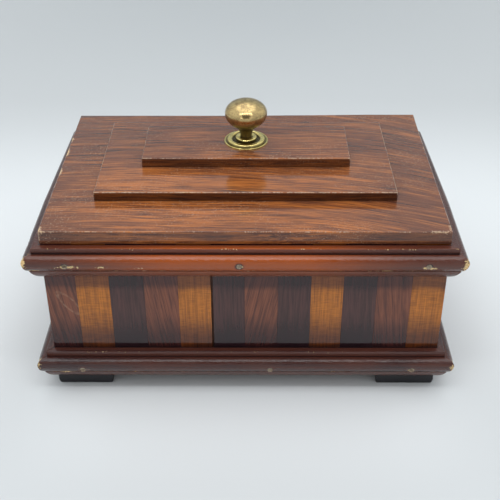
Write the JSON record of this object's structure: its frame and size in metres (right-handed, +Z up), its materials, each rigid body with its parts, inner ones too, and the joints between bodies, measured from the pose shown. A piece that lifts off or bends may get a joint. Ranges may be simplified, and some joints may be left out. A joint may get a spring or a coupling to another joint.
{
  "type": "tea caddy",
  "caption": "Rectangular wooden tea caddy with striped facings, planted mouldings, block feet, two lined compartments and a hinged stepped lid with a brass knob.",
  "frame": {"origin": "centre of the object's box in plan, on the plane that the feet stand on", "axes": "+X to the right seen from the front, +Y from the front to the hinged back, +Z up"},
  "size_m": [0.2704, 0.1822, 0.1624],
  "materials": {
    "lid_wood": "glossy red-brown varnish, worn at the edges",
    "moulding_wood": "glossy red-brown varnish over pale wood, chipped",
    "brown_wood": "glossy varnish",
    "light_wood": "glossy varnish, shaded towards the ends",
    "dark_wood": "glossy varnish",
    "back_wood": "plain varnish",
    "carcass_wood": "bare planed softwood",
    "black_wood": "black paint",
    "knob_brass": "aged, polished by handling",
    "pin_brass": "dull, slotted heads",
    "hinge_brass": "satin, tarnished",
    "steel": "plain, a little dull",
    "lining_metal": "dull grey foil, soft soldered"
  },
  "bodies": {
    "case": {"front_board": "carcass_wood", "left_board": "carcass_wood", "right_board": "carcass_wood", "bottom_board": "carcass_wood", "divider": "carcass_wood", "back_board": "back_wood", "left_lining": "lining_metal", "right_lining": "lining_metal", "front_strip_01": "brown_wood", "front_strip_02": "light_wood", "front_strip_03": "dark_wood", "front_strip_04": "brown_wood", "front_strip_05": "light_wood", "front_strip_06": "dark_wood", "front_strip_07": "brown_wood", "front_strip_08": "dark_wood", "front_strip_09": "light_wood", "front_strip_10": "dark_wood", "front_strip_11": "brown_wood", "front_strip_12": "light_wood", "left_strips_brown": "brown_wood", "left_strips_dark": "dark_wood", "left_strips_light": "light_wood", "right_strips_brown": "brown_wood", "right_strips_dark": "dark_wood", "right_strips_light": "light_wood", "base_moulding_front": "moulding_wood", "base_moulding_left": "moulding_wood", "base_moulding_right": "moulding_wood", "base_moulding_pins": "pin_brass", "rim_moulding_front": "moulding_wood", "rim_moulding_left": "moulding_wood", "rim_moulding_right": "moulding_wood", "rim_moulding_pins": "pin_brass", "front_left_foot": "black_wood", "front_right_foot": "black_wood", "back_left_foot": "black_wood", "back_right_foot": "black_wood", "foot_screws": "steel", "case_hinge_screws": "hinge_brass", "left_hinge_case_leaf": "hinge_brass", "left_hinge_pin": "hinge_brass", "right_hinge_case_leaf": "hinge_brass", "right_hinge_pin": "hinge_brass"},
    "lid": {"lid_board": "lid_wood", "lid_middle_step": "lid_wood", "lid_upper_step": "lid_wood", "knob": "knob_brass", "knob_rose": "knob_brass", "knob_stud": "steel", "knob_washer": "steel", "knob_nut": "steel", "lid_hinge_screws": "hinge_brass", "left_hinge_lid_leaf": "hinge_brass", "right_hinge_lid_leaf": "hinge_brass"}
  },
  "joints": [
    {"name": "lid_hinge", "type": "hinge", "parent": "case", "child": "lid", "pos_m": [0, 0.08746, 0.1107], "axis": [-1, 0, 0], "range_deg": [0, 95]}
  ]
}
